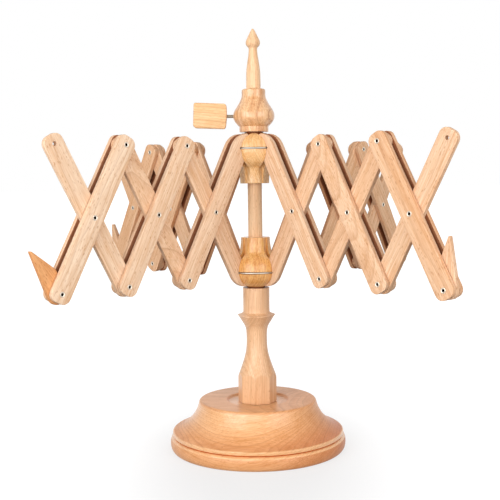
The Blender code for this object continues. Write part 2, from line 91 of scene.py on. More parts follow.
COLUMN_RUNS = (
    ((0, 95.4), (9.3, 95.4)),
    ((9.3, 95.4), (9.3, 205.4)),
    ((9.3, 205.4), (16.9, 205.4)),
    ((16.9, 205.4), (16.9, 175.2)),
    ((16.9, 175.2), (17.5, 173.6), (20.5, 171.8), (24.2, 170.6)),
    ((24.2, 170.6), (22.3, 168.4), (18.9, 162.9), (15.3, 157.0), (13.8, 152.2), (13.2, 145.9),
     (13.1, 134.4), (14.2, 123.2), (17.2, 111.7), (21.0, 100.6), (23.2, 94.8), (24.6, 90.0),
     (25.4, 84.0)),
    ((25.4, 84.0), (25.4, 58.8)),
    ((25.4, 58.8), (12.0, 58.8)),
    ((12.0, 58.8), (12.0, 28.8)),
    ((12.0, 28.8), (0, 28.8)),
)
SPINDLE_RUNS = (
    ((0, 95.7), (9.0, 95.7)),
    ((9.0, 95.7), (9.0, 458.0)),
    ((9.0, 458.0), (9.0, 464.0), (8.95, 469.6), (8.7, 476.6), (7.9, 483.8), (6.9, 490.8),
     (5.7, 498.0), (5.2, 504.6)),
    ((5.2, 504.6), (5.8, 506.4), (7.2, 507.9)),
    ((7.2, 507.9), (8.5, 509.7), (8.95, 512.3), (8.4, 515.3), (7.05, 518.2), (5.05, 522.3),
     (2.95, 526.4), (1.2, 529.2), (0, 530.0)),
)
HUB_RUNS = (
    ((9.4, 43.4), (9.4, -20.5)),
    ((9.4, -20.5), (11.5, -20.5)),
    ((11.5, -20.5), (11.5, -19.2)),
    ((11.5, -19.2), (14.8, -19.2)),
    ((14.8, -19.2), (19.5, -17.4), (24.6, -14.2), (28.3, -10.8), (30.8, -6.9), (32.1, -3.4),
     (32.6, -1.3)),
    ((32.6, -1.3), (29.9, -1.3)),
    ((29.9, -1.3), (29.9, 1.3)),
    ((29.9, 1.3), (32.6, 1.3)),
    ((32.6, 1.3), (32.4, 5.0), (31.2, 10.2), (28.6, 15.6), (25.3, 19.6), (22.6, 21.9),
     (20.8, 24.2), (19.8, 27.5), (19.0, 32.0), (18.4, 37.0), (18.1, 43.4)),
    ((18.1, 43.4), (9.4, 43.4)),
)
CAP_RUNS = (
    ((9.5, 401.7), (9.5, 455.9)),
    ((9.5, 455.9), (13.5, 455.0)),
    ((13.5, 455.0), (14.6, 454.0), (14.9, 451.6), (14.8, 448.2)),
    ((14.8, 448.2), (15.3, 445.0), (16.7, 441.3), (18.4, 437.8), (20.7, 434.2), (23.1, 430.5),
     (25.2, 426.4), (26.0, 421.9), (25.6, 418.0), (24.1, 414.8), (21.3, 411.2), (19.2, 409.0)),
    ((19.2, 409.0), (18.3, 408.3)),
    ((18.3, 408.3), (18.2, 401.7)),
    ((18.2, 401.7), (9.5, 401.7)),
)


class SwiftSlats(bpy.types.PropertyGroup):
    """Sizes and colours of the flat pieces of the arms."""
    width: bpy.props.FloatProperty(
        name="Width", description="Width of a slat", default=24 * MM,
        subtype="DISTANCE", unit="LENGTH")
    thickness: bpy.props.FloatProperty(
        name="Thickness", description="Thickness of a slat", default=6 * MM,
        subtype="DISTANCE", unit="LENGTH")
    reach: bpy.props.FloatProperty(
        name="Pivot Reach", description="Length between a slat's middle and end pivots",
        default=90 * MM, subtype="DISTANCE", unit="LENGTH")
    hub_reach: bpy.props.FloatProperty(
        name="Hub Reach", description="Length between a slat's middle pivot and its hub",
        default=88.2 * MM, subtype="DISTANCE", unit="LENGTH")
    corner: bpy.props.FloatProperty(
        name="Corner Radius", description="Rounding of a slat's four corners",
        default=9 * MM, subtype="DISTANCE", unit="LENGTH")
    softness: bpy.props.FloatProperty(
        name="Edge Softness", description="Sanded rounding of the long edges",
        default=0.6 * MM, subtype="DISTANCE", unit="LENGTH")
    pale: bpy.props.FloatVectorProperty(
        name="Pale Wood", description="Colour of the palest slats, sRGB",
        default=(0.965, 0.865, 0.76), subtype="COLOR_GAMMA", size=3, min=0, max=1)
    warm: bpy.props.FloatVectorProperty(
        name="Warm Wood", description="Colour of the warmest slats, sRGB",
        default=(0.9, 0.675, 0.465), subtype="COLOR_GAMMA", size=3, min=0, max=1)


class SwiftTurning(bpy.types.PropertyGroup):
    """Fineness and colours of the turned pieces."""
    sides: bpy.props.IntProperty(
        name="Sides", description="Faces round a turned piece", default=96, min=24, max=256)
    ease: bpy.props.FloatProperty(
        name="Eased Edge", description="Length that sanding takes off a sharp edge",
        default=0.45 * MM, subtype="DISTANCE", unit="LENGTH")
    beech: bpy.props.FloatVectorProperty(
        name="Beech", description="Colour of the turned beech, sRGB",
        default=(0.925, 0.755, 0.59), subtype="COLOR_GAMMA", size=3, min=0, max=1)
    honey: bpy.props.FloatVectorProperty(
        name="Honey Wood", description="Colour of the varnished hubs and cap, sRGB",
        default=(0.945, 0.735, 0.44), subtype="COLOR_GAMMA", size=3, min=0, max=1)


class SwiftStudio(bpy.types.PropertyGroup):
    """The lamps and the camera."""
    key: bpy.props.FloatProperty(
        name="Key Power", description="Power of the lamp at the front left, in watts",
        default=16.5, min=0)
    fill: bpy.props.FloatProperty(
        name="Fill Power", description="Power of the lamp at the front right, in watts",
        default=13.2, min=0)
    front: bpy.props.FloatProperty(
        name="Front Power", description="Power of the lamp near the camera, in watts",
        default=10.5, min=0)
    back: bpy.props.FloatProperty(
        name="Back Power", description="Power of the lamp behind, in watts",
        default=8.0, min=0)
    surround: bpy.props.FloatProperty(
        name="Surround", description="Strength of the even light from all round",
        default=0.45, min=0)
    lens: bpy.props.FloatProperty(
        name="Focal Length", description="Focal length of the camera, in millimetres",
        default=66.23, min=1)


def deselect():
    if bpy.context.mode != "OBJECT":
        bpy.ops.object.mode_set(mode="OBJECT")
    bpy.ops.object.select_all(action="DESELECT")


def make_active(item):
    """Selects one object alone and makes it the active one."""
    deselect()
    item.select_set(True)
    bpy.context.view_layer.objects.active = item


def edit(item):
    """Opens a piece in edit mode with nothing selected."""
    make_active(item)
    bpy.ops.object.mode_set(mode="EDIT")
    bpy.ops.mesh.select_mode(type="VERT")
    bpy.ops.mesh.select_all(action="DESELECT")


def pick(item, kind, test):
    """Selects the edges or faces whose middle passes the test, in edit mode."""
    bpy.ops.mesh.select_mode(type=kind)
    bpy.ops.mesh.select_all(action="DESELECT")
    bpy.ops.object.mode_set(mode="OBJECT")
    mesh = item.data
    for face in mesh.polygons:
        face.select = False
    for line in mesh.edges:
        line.select = False
    for point in mesh.vertices:
        point.select = False
    if kind == "FACE":
        for face in mesh.polygons:
            face.select = test(face.center, face.normal)
    else:
        for line in mesh.edges:
            ends = [mesh.vertices[index].co for index in line.vertices]
            line.select = test((ends[0] + ends[1]) / 2, (ends[1] - ends[0]).normalized())
    bpy.ops.object.mode_set(mode="EDIT")


def tidy_mesh():
    """Merges doubles and turns all faces outwards, in edit mode."""
    bpy.ops.mesh.select_mode(type="VERT")
    bpy.ops.mesh.select_all(action="SELECT")
    bpy.ops.mesh.remove_doubles(threshold=DOUBLE)
    bpy.ops.mesh.normals_make_consistent(inside=False)


def apply_place(item):
    """Moves the object's place into its mesh and leaves the object at the origin."""
    make_active(item)
    bpy.ops.object.transform_apply(location=True, rotation=True, scale=True)


def finish_piece(item, material, angle):
    """Shades a piece, with edges over the angle left sharp, and gives it its finish."""
    apply_place(item)
    bpy.ops.object.shade_smooth_by_angle(angle=math.radians(angle))
    item.data.materials.clear()
    item.data.materials.append(material)
    item.data.name = item.name


def cut(item, cutter, operation="DIFFERENCE"):
    """Applies a Boolean with the cutter and deletes the cutter."""
    make_active(item)
    modifier = item.modifiers.new("Cut", "BOOLEAN")
    modifier.operation = operation
    modifier.solver = "EXACT"
    modifier.object = cutter
    bpy.ops.object.modifier_apply(modifier=modifier.name)
    bpy.data.objects.remove(cutter, do_unlink=True)


def copy_piece(pattern, name, matrix):
    """A copy of a pattern with its own mesh, placed and then set to the origin."""
    make_active(pattern)
    bpy.ops.object.duplicate(linked=False)
    item = bpy.context.object
    item.name = name
    item.data.name = name
    item.matrix_world = matrix
    apply_place(item)
    return item


def stain_points(item, amount):
    """Writes how dark a piece is painted at each point, as painted shade and stain, from 0 to 1,
    by its x, y, z in mm.
    """
    shade_and_stains = item.data.attributes.new("stain", "FLOAT", "POINT")
    for point, stain in zip(item.data.vertices, shade_and_stains.data):
        stain.value = amount(*(point.co / MM))


def curve_through(points, steps):
    """A smooth curve through three or more (radius, height) points, with steps between two."""
    ends = [tuple(2 * a - b for a, b in zip(points[0], points[1]))]
    ends += list(points)
    ends.append(tuple(2 * a - b for a, b in zip(points[-1], points[-2])))
    curve = []
    for before, start, end, after in zip(ends, ends[1:], ends[2:], ends[3:]):
        for step in range(steps):
            t = step / steps
            curve.append(tuple(
                0.5 * (2 * q + (r - p) * t + (2 * p - 5 * q + 4 * r - s) * t * t
                       + (3 * q - p - 3 * r + s) * t ** 3)
                for p, q, r, s in zip(before, start, end, after)))
    return curve + [points[-1]]


def outline_points(runs, ease):
    """Joins the runs into one line of points in metres, with each meeting edge eased."""
    lines = [curve_through(run, 5) if len(run) > 2 else list(run) for run in runs]
    points = []
    for line, following in zip(lines, lines[1:] + lines[:1]):
        points += line[1:-1]
        corner = Vector(line[-1])
        if corner != Vector(following[0]):
            points.append(tuple(corner))
            continue
        back = Vector(line[-2]) - corner
        on = Vector(following[1]) - corner
        cut_back = min(ease / MM, back.length * 0.4)
        cut_on = min(ease / MM, on.length * 0.4)
        first = corner + back.normalized() * cut_back
        last = corner + on.normalized() * cut_on
        middle = (first + 2 * corner + last) / 4
        points += [tuple(first), tuple(middle), tuple(last)]
    if runs[0][0][0] == 0:
        points.insert(0, runs[0][0])
    return [(radius * MM, height * MM) for radius, height in points]


def draw_line(name, points):
    """Draws a line through (x, z) points, vertex by vertex, and stays in edit mode."""
    deselect()
    x, z = points[0]
    bpy.ops.mesh.primitive_plane_add(size=MM, location=(x, 0, z))
    item = bpy.context.object
    item.name = name
    apply_place(item)
    edit(item)
    bpy.ops.mesh.select_all(action="SELECT")
    bpy.ops.mesh.merge(type="CENTER")
    for (x, z), (next_x, next_z) in zip(points, points[1:]):
        bpy.ops.mesh.extrude_region_move(
            TRANSFORM_OT_translate={"value": (next_x - x, 0, next_z - z)})
    bpy.ops.mesh.select_all(action="SELECT")
    return item


def turn(name, points, sides):
    """Spins an outline round Z, as on a lathe; a bored piece's outline is a closed one."""
    closed = points[0][0] > 0
    item = draw_line(name, points + points[:1] if closed else points)
    bpy.ops.mesh.spin(steps=sides, angle=math.tau, center=(0, 0, 0), axis=(0, 0, 1))
    tidy_mesh()
    bpy.ops.object.mode_set(mode="OBJECT")
    return item


def saw_board(name, outline, sizes):
    """Saws a board along an (x, z) outline, and rounds its rim like sandpaper."""
    board = draw_line(name, outline + outline[:1])
    bpy.ops.mesh.remove_doubles(threshold=DOUBLE)
    bpy.ops.mesh.edge_face_add()
    half = sizes.thickness / 2
    bpy.ops.transform.translate(value=(0, -half, 0))
    bpy.ops.mesh.extrude_region_move(TRANSFORM_OT_translate={"value": (0, 2 * half, 0)})
    tidy_mesh()
    pick(board, "EDGE", lambda middle, along: abs(abs(middle.y) - half) < 0.01 * MM
         and abs(along.y) < 0.1)
    bpy.ops.mesh.bevel(offset=sizes.softness, segments=3, affect="EDGES")
    tidy_mesh()
    bpy.ops.object.mode_set(mode="OBJECT")
    return board


def arc(centre, radius, start, end, steps=9):
    """Points of an arc in the XZ plane, in degrees from +X towards +Z."""
    angles = [math.radians(start + (end - start) * step / steps) for step in range(steps + 1)]
    return [(centre[0] + radius * math.cos(angle), centre[1] + radius * math.sin(angle))
            for angle in angles]


def srgb(colour):
    """An sRGB colour, as hex or as three numbers, as the linear RGBA that a shader reads."""
    if isinstance(colour, str):
        colour = [int(colour[place:place + 2], 16) / 255 for place in (1, 3, 5)]
    linear = [c / 12.92 if c <= 0.04045 else ((c + 0.055) / 1.055) ** 2.4 for c in colour]
    return (*linear, 1)


def add_node(tree, kind, inputs=None, out=0, **settings):
    """Adds a shader node, sets it up, fills or links its inputs, and returns one output."""
    made = tree.nodes.new("ShaderNode" + kind)
    for name, value in settings.items():
        setattr(made, name, value)
    for key, value in (inputs or {}).items():
        if isinstance(value, bpy.types.NodeSocket):
            tree.links.new(value, made.inputs[key])
        else:
            made.inputs[key].default_value = value
    return made.outputs[out] if made.outputs else None


def new_material(name):
    """An empty material, and its node tree."""
    material = bpy.data.materials.new(name)
    material.use_nodes = True
    material.node_tree.nodes.clear()
    return material, material.node_tree


def texture(tree, kind, place, size, inputs=None, out=0):
    """A texture whose blots or cells measure size = (across, across, along) in mm."""
    scaled = add_node(tree, "VectorMath", {0: place, 1: [1 / length for length in size]},
                      operation="MULTIPLY")
    return add_node(tree, kind, {"Vector": scaled, "Scale": 1.0, **(inputs or {})}, out)


def year_noise(tree, years, pace, detail=2.0):
    """Noise that changes from ring to ring, as good and poor years do."""
    step = add_node(tree, "Math", {0: years, 1: pace}, operation="MULTIPLY")
    return add_node(tree, "TexNoise", {"W": step, "Scale": 1.0, "Detail": detail,
                                       "Roughness": 0.6}, noise_dimensions="1D")


def place_in_mm(tree):
    """Object coordinates, in mm."""
    where = add_node(tree, "TexCoord", out="Object")
    return add_node(tree, "VectorMath", {0: where, 1: (1000, 1000, 1000)},
                    operation="MULTIPLY")


def log_place(tree, axis, heart):
    """Object coordinates in mm, turned so that Z runs along the log and its heart is at 0."""
    turned = Vector(axis).rotation_difference(Vector((0, 0, 1)))
    shift = turned.to_matrix() @ Vector(heart)
    return add_node(tree, "Mapping",
                    {"Vector": add_node(tree, "TexCoord", out="Object"), "Location": -shift,
                     "Rotation": turned.to_euler(), "Scale": (1000, 1000, 1000)})


def late_wood(tree, bent, ring):
    """The dark line that ends each yearly ring, and the years counted from the heart."""
    across = add_node(tree, "VectorMath", {0: bent, 1: (1, 1, 0)}, operation="MULTIPLY")
    radius = add_node(tree, "VectorMath", {0: across}, out="Value", operation="LENGTH")
    years = add_node(tree, "Math", {0: radius, 1: ring}, operation="DIVIDE")
    years = add_node(tree, "Math", {0: year_noise(tree, years, 0.37), 1: 1.6, 2: years},
                     operation="MULTIPLY_ADD")
    season = add_node(tree, "Math", {0: years}, operation="FRACT")
    rise = add_node(tree, "Math", {0: season, 1: 4.0}, operation="POWER")
    end = add_node(tree, "MapRange", {0: season, 1: 1.0, 2: 0.93})
    late = add_node(tree, "Math", {0: rise, 1: end}, operation="MULTIPLY")
    vigour = add_node(tree, "MapRange", {0: year_noise(tree, years, 0.61), 1: 0.3, 2: 0.7,
                                         3: 0.35, 4: 1.0})
    return add_node(tree, "Math", {0: late, 1: vigour}, operation="MULTIPLY"), years


def wood(name, palette, ring, wander, contrast, lines, roughness, shine=0.3, varnish=0.0,
         streak=1.7, rays=0.3, axis=(0, 0, 1), heart=(0, 0, 0), log=None, tones=None,
         shade_and_stains=None, shade_and_stain_colour="#9a6440"):
    """Solid wood: yearly rings round the heart of a log, fibres along it, and ray flecks.

    palette is (pale, deep, line) in sRGB. ring is a ring's width and wander how far it
    sways, both in mm. contrast, lines, streak and rays are how strong the grain, the late
    wood's lines, the broad streaks and the short flecks are. axis and heart place the log.
    log names an attribute with the place in the log instead, tones one that says how warm
    the wood is, and a last one that darkens it towards a dark colour, as painted shade and
    stain.
    """
    material, tree = new_material(name)
    if log:
        place = add_node(tree, "Attribute", out="Vector", attribute_name=log)
    else:
        place = log_place(tree, axis, heart)
    sway = texture(tree, "TexNoise", place, (45.4545, 45.4545, 125), {"Detail": 2.0}, "Color")
    sway = add_node(tree, "VectorMath", {0: sway, 1: (0.5, 0.5, 0.5)}, operation="SUBTRACT")
    sway = add_node(tree, "VectorMath", {0: sway, 1: (wander * 2, wander * 2, 0)},
                    operation="MULTIPLY")
    bent = add_node(tree, "VectorMath", {0: place, 1: sway}, operation="ADD")
    late, years = late_wood(tree, bent, ring)

    # Fibres are finer than a pixel in life, and are drawn as coarse as they need to show
    bands = year_noise(tree, years, 0.5, 3.0)
    streaks = texture(tree, "TexNoise", bent, (7, 7, 170), {"Detail": 3.0, "Roughness": 0.6})
    fibres = texture(tree, "TexNoise", place, (1.1, 1.1, 30),
                     {"Detail": 3.0, "Roughness": 0.65})
    mottle = texture(tree, "TexNoise", place, (14, 14, 30), {"Detail": 2.0})
    flakes = texture(tree, "TexVoronoi", place, (2, 2, 6.6667))
    flakes = add_node(tree, "MapRange", {0: flakes, 1: 0.34, 2: 0.16})
    crowd = texture(tree, "TexNoise", place, (6, 6, 9), {"Detail": 2.0})
    crowd = add_node(tree, "MapRange", {0: crowd, 1: 0.38, 2: 0.62})
    flecks = add_node(tree, "Math", {0: flakes, 1: crowd}, operation="MULTIPLY")
    dots = texture(tree, "TexVoronoi", place, (10, 10, 18.1818))
    dots = add_node(tree, "MapRange", {0: dots, 1: 0.075, 2: 0.045})

    pale, deep, line = [srgb(colour) for colour in palette]
    if tones:
        warmth = add_node(tree, "Attribute", out="Fac", attribute_name=tones)
        slats = bpy.context.scene.swift_slats
        pale = add_node(tree, "Mix", {0: warmth, 6: srgb(slats.pale), 7: srgb(slats.warm)},
                        out=2, data_type="RGBA")
        deep, line = [add_node(tree, "Mix", {0: 1.0, 6: pale, 7: shade}, out=2,
                               data_type="RGBA", blend_type="MULTIPLY")
                      for shade in (deep, line)]
    # The wood is deeper where a good year, a streak, a fibre or the mottle is over its mean
    depth = 0.0
    for part, weight in ((bands, 1.6), (streaks, streak), (fibres, 3.6), (mottle, 0.7)):
        swing = add_node(tree, "Math", {0: part, 1: 0.5}, operation="SUBTRACT")
        depth = add_node(tree, "Math", {0: swing, 1: weight * contrast, 2: depth},
                         operation="MULTIPLY_ADD")
    depth = add_node(tree, "MapRange", {0: depth, 1: -0.7, 2: 0.9})
    colour = add_node(tree, "Mix", {0: depth, 6: pale, 7: deep}, out=2, data_type="RGBA")
    # Late wood, ray flecks and small knots are drawn over it in the line's colour
    for part, weight in ((late, lines), (flecks, rays), (dots, 0.5)):
        amount = add_node(tree, "Math", {0: part, 1: weight}, operation="MULTIPLY")
        colour = add_node(tree, "Mix", {0: amount, 6: colour, 7: line}, out=2,
                          data_type="RGBA")
    if shade_and_stains:
        stain = add_node(tree, "Attribute", out="Fac", attribute_name=shade_and_stains)
        dark = add_node(tree, "Mix", {0: 1.0, 6: colour, 7: srgb(shade_and_stain_colour)}, out=2,
                        data_type="RGBA", blend_type="MULTIPLY")
        colour = add_node(tree, "Mix", {0: stain, 6: colour, 7: dark}, out=2,
                          data_type="RGBA")
        # The varnish is thin where shade and stain are painted on the wood
        varnish = add_node(tree, "MapRange", {0: stain, 1: 0.0, 2: 0.3, 3: varnish,
                                              4: 0.2 * varnish})

    # The roughness differs by 0.14 from fibre to fibre, and late wood and knots are sunk
    sheen = add_node(tree, "Math", {0: fibres, 1: 0.14, 2: roughness - 0.06},
                     operation="MULTIPLY_ADD")
    relief = add_node(tree, "Math", {0: late, 1: -0.35, 2: fibres}, operation="MULTIPLY_ADD")
    relief = add_node(tree, "Math", {0: dots, 1: -1.2, 2: relief}, operation="MULTIPLY_ADD")
    grain = add_node(tree, "Bump", {"Height": relief, "Strength": 0.22,
                                    "Distance": 0.12 * MM})
    shader = add_node(tree, "BsdfPrincipled",
                      {"Base Color": colour, "Roughness": sheen, "Normal": grain,
                       "Specular IOR Level": shine, "Coat Weight": varnish,
                       "Coat Roughness": 0.27})
    add_node(tree, "OutputMaterial", {"Surface": shader})
    return material


def steel(name, dull, bright):
    """Plated steel, faintly brushed and a little dull, and painted dark brown as shade where
    "bore" is 1.
    """
    material, tree = new_material(name)
    place = place_in_mm(tree)
    cloud = texture(tree, "TexNoise", place, (1.4, 1.4, 1.4),
                    {"Detail": 4.0, "Roughness": 0.6})
    scratches = texture(tree, "TexNoise", place, (0.12, 0.12, 1.5), {"Detail": 2.0})
    colour = add_node(tree, "Mix", {0: cloud, 6: srgb(dull), 7: srgb(bright)}, out=2,
                      data_type="RGBA")
    bore = add_node(tree, "Attribute", out="Fac", attribute_name="bore")
    colour = add_node(tree, "Mix", {0: bore, 6: colour, 7: srgb("#2c211a")}, out=2,
                      data_type="RGBA")
    sheen = add_node(tree, "Math", {0: scratches, 1: 0.2, 2: 0.28}, operation="MULTIPLY_ADD")
    brushing = add_node(tree, "Bump", {"Height": scratches, "Strength": 0.12,
                                       "Distance": 0.03 * MM})
    shader = add_node(tree, "BsdfPrincipled",
                      {"Base Color": colour, "Metallic": 1.0, "Roughness": sheen,
                       "Normal": brushing})
    add_node(tree, "OutputMaterial", {"Surface": shader})
    return material


def shared(name, make):
    """A material by name, made the first time that it is asked for."""
    return bpy.data.materials.get(name) or make()


def wire_finish():
    # Dull steel wire and rod, a mid grey that stays dark in its groove
    return shared("dull_steel_wire", lambda: steel("dull_steel_wire", "#a9a49c", "#d6d1c8"))


def eyelet_finish():
    # Nickel-plated eyelets: a pale rolled rim, and a bore painted dark brown as the shade inside
    # the tube
    return shared("nickel_plated_eyelet",
                  lambda: steel("nickel_plated_eyelet", "#b9ad9c", "#ddd3c5"))


def slat_finish():
    # Sanded beech boards: fine lengthwise fibres and short ray flecks, each board with its
    # own cut through the log and its own warmth
    return shared("sanded_beech_board", lambda: wood(
        "sanded_beech_board", ("#ffffff", "#e4cbb2", "#bc8f68"), ring=3.4, wander=4.0,
        contrast=0.9, lines=0.55, rays=0.62, roughness=0.55, shine=0.12, log="log_place",
        tones="warmth", shade_and_stains="stain"))


class SWIFT_OT_base(bpy.types.Operator):
    """Turns the round foot"""
    bl_idname = "yarn_swift.base"
    bl_label = "Base"

    def execute(self, context):
        turning = context.scene.swift_turning
        item = turn("turned_base", outline_points(BASE_RUNS, turning.ease), turning.sides + 48)
        # The log lay along X and far below, and its rings rise more and more to the right
        mesh = item.data
        mesh.attributes.new("log_place", "FLOAT_VECTOR", "POINT")
        for point, place in zip(mesh.vertices, mesh.attributes["log_place"].data):
            x, y, z = point.co / MM
            place.vector = (z - 0.13 * x - 0.0014 * x * x + 300, y + 30, x)
        stain_points(item, self.stain)
        # Beech with the grain lying flat, so the yearly rings run round the foot as contours
        finish = wood("flat_grained_beech", ("#f1bd8a", "#d99a5d", "#a6612a"), ring=2.6,
                      wander=2.0, contrast=0.9, lines=0.55, roughness=0.4, shine=0.2,
                      varnish=1.0, log="log_place", shade_and_stains="stain", shade_and_stain_colour="#cd8340")
        finish_piece(item, finish, 20)
        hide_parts("base")
        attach(item, "stand")
        return {"FINISHED"}

    def stain(self, x, y, z):
        """Painted shade darkens the foot in its groove, on top and to the right; low on its rim
        and towards the cove's outer edge it is darker too.
        """
        radius = math.hypot(x, y)
        shade_to_the_right = max(0.0035 * x, 0)
        flange, groove_top, rim_top, table = 100, 19, 14.5, 59
        if z < groove_top and flange < radius < 107.5:
            return 1.0
        if radius > flange and rim_top < z < 23.3:
            return 0.0
        if z > table:
            return 0.22 + shade_to_the_right / 3
        if z < rim_top:
            return 0.27 + shade_to_the_right
        return 0.34 * min(max((radius - 76) / 24, 0), 1) + shade_to_the_right


class SWIFT_OT_column(bpy.types.Operator):
    """Turns the column and planes its foot to eight sides"""
    bl_idname = "yarn_swift.column"
    bl_label = "Column"

    def execute(self, context):
        turning = context.scene.swift_turning
        item = turn("turned_column", outline_points(COLUMN_RUNS, turning.ease), turning.sides)
        deselect()
        # The flats' distance from the axis, and how far they are turned from the front
        flat, turned = 22.82 * MM, math.radians(40 + 90)
        bpy.ops.mesh.primitive_cylinder_add(
            vertices=8, radius=flat / math.cos(math.pi / 8), depth=220 * MM,
            location=(0, 0, 120 * MM), rotation=(0, 0, turned))
        eight = bpy.context.object
        edit(eight)
        pick(eight, "EDGE", lambda middle, along: abs(along.z) > 0.9)
        bpy.ops.mesh.bevel(offset=0.5 * MM, segments=2, affect="EDGES")
        bpy.ops.object.mode_set(mode="OBJECT")
        apply_place(eight)
        cut(item, eight, "INTERSECT")
        # Upright beech: long straight fibres, with a slow wave where the rings are cut through
        finish = wood("upright_beech", (turning.beech, "#d8a374", "#ad7242"), ring=2.6,
                      wander=2.2, contrast=0.9, lines=0.6, roughness=0.4, shine=0.2,
                      varnish=0.6, axis=(0.03, 0.02, 1), heart=(70, 40, 0), shade_and_stains="stain")
        # The octagon, up to 88 mm, is a little darker, and the right side is painted darker as
        # shade
        stain_points(item, lambda x, y, z: 0.1 * (z < 88) + max(0.008 * x, 0))
        finish_piece(item, finish, 13)
        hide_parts("column")
        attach(item, "stand")
        return {"FINISHED"}


class SWIFT_OT_spindle(bpy.types.Operator):
    """Turns the spindle and its spear-shaped tip"""
    bl_idname = "yarn_swift.spindle"
    bl_label = "Spindle"

    def execute(self, context):
        turning = context.scene.swift_turning
        item = turn("turned_spindle", outline_points(SPINDLE_RUNS, turning.ease),
                    turning.sides // 2 + 16)
        # Dowel beech: plain and pale, with the dark dashes of cut rays
        finish = wood("dowel_beech", ("#f6cfa6", "#dfae80", "#a0663a"), ring=2.8,
                      wander=2.0, contrast=0.9, lines=0.5, roughness=0.4, shine=0.12,
                      varnish=0.2, axis=(0.01, 0.015, 1), heart=(60, 30, 0))
        finish_piece(item, finish, 30)
        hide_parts("spindle")
        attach(item, "spindle")
        return {"FINISHED"}


def cut_slots(hub, layers, floor, low, high):
    """Saws a hub's slots at each arm, from a floor outwards and between two heights, in mm."""
    deselect()
    # Past the hub's rim, in mm
    rim = 40.0
    cutter = None
    for arm in ARMS:
        across = Vector(JOINTS[arm + "_fold_1"]["axis"])
        along = across.cross(Vector((0, 0, 1)))
        for near, far in layers:
            middle = (along * (floor + rim) + across * (near + far)) / 2
            bpy.ops.mesh.primitive_cube_add(
                size=MM, location=(middle.x * MM, middle.y * MM, (low + high) / 2 * MM),
                rotation=(0, 0, math.atan2(along.y, along.x)),
                scale=(rim - floor, far - near, high - low))
            if cutter is None:
                cutter = bpy.context.object
                apply_place(cutter)
                bpy.ops.object.mode_set(mode="EDIT")
    bpy.ops.object.mode_set(mode="OBJECT")
    cut(hub, cutter)


class SWIFT_OT_hubs(bpy.types.Operator):
    """Turns both hubs and cuts the slots that the slats turn in"""
    bl_idname = "yarn_swift.hubs"
    bl_label = "Hubs"

    def execute(self, context):
        turning = context.scene.swift_turning
        # Varnished honey-coloured wood with fine upright streaks, glossy enough for soft
        # lights; the lower hub is the more golden one
        finishes = {
            "lower_hub": ("golden_hub_wood", (turning.honey, "#cf8338", "#8f4a16"),
                          (0.12, -0.05, 1), (95, 20, 190)),
            "upper_hub": ("flamed_hub_wood", ("#f1c78f", "#d69a53", "#9c5d25"),
                          (-0.2, 0.3, 1), (-90, 30, 400)),
        }
        # The slots' two sides, in mm across the arm: for one slat below and a pair above
        slots = {"lower_hub": ((-3.35, 3.35),), "upper_hub": ((-9.65, -2.95), (2.95, 9.65))}
        # The height of each hub's ring, and 1 or -1 for a skirt that points up or down
        places = {"lower_hub": (LOWER_RING_Z, 1), "upper_hub": (UPPER_RING_Z, -1)}
        for node, (height, facing) in places.items():
            outline = [(radius, height * MM + facing * along)
                       for radius, along in outline_points(HUB_RUNS, turning.ease)]
            item = turn("turned_" + node, outline, turning.sides)
            # The slots are deeper in the crown, where the slats' trimmed ends swing: each
            # cut has the radius of its floor, and its start and end along the hub, in mm
            for floor, start, end in ((11.8, -30, 6.5), (17.0, 0, 60)):
                low, high = sorted((height + facing * start, height + facing * end))
                cut_slots(item, slots[node], floor, low, high)
            # Painted shade darkens the ring's groove and the underside of the crown
            stain_points(item, lambda x, y, z, height=height, facing=facing: float(
                math.hypot(x, y) < 30.3 and abs(z - height) < 1.5
                or facing * (z - height) < -19.0))
            name, palette, axis, heart = finishes[node]
            finish = wood(name, palette, ring=2.2, wander=2.0, contrast=1.2, lines=0.6,
                          roughness=0.36, varnish=1.0, axis=axis, heart=heart,
                          shade_and_stains="stain")
            finish_piece(item, finish, 25)
            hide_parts(node)
            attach(item, "spindle" if node == "lower_hub" else "upper_hub")
        return {"FINISHED"}


class SWIFT_OT_rings(bpy.types.Operator):
    """Bends the two wire rings that the slats hang on"""
    bl_idname = "yarn_swift.rings"
    bl_label = "Wire Rings"

    def execute(self, context):
        for node, height in (("lower_ring", LOWER_RING_Z), ("upper_ring", UPPER_RING_Z)):
            deselect()
            bpy.ops.mesh.primitive_torus_add(
                major_radius=31.5 * MM, minor_radius=1.0 * MM, major_segments=144,
                minor_segments=12, location=(0, 0, height * MM))
            item = bpy.context.object
            item.name = "wire_" + node
            apply_place(item)
            edit(item)
            # The wire's two ends meet at the back with a narrow gap
            pick(item, "FACE", lambda middle, normal: middle.y > 30 * MM
                 and 0 < middle.x < 1.4 * MM)
            bpy.ops.mesh.delete(type="FACE")
            bpy.ops.mesh.select_all(action="DESELECT")
            bpy.ops.mesh.select_mode(type="VERT")
            bpy.ops.mesh.select_non_manifold()
            bpy.ops.mesh.edge_face_add()
            tidy_mesh()
            bpy.ops.object.mode_set(mode="OBJECT")
            finish_piece(item, wire_finish(), 40)
            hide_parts(node)
            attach(item, "spindle" if node == "lower_ring" else "upper_hub")
        return {"FINISHED"}


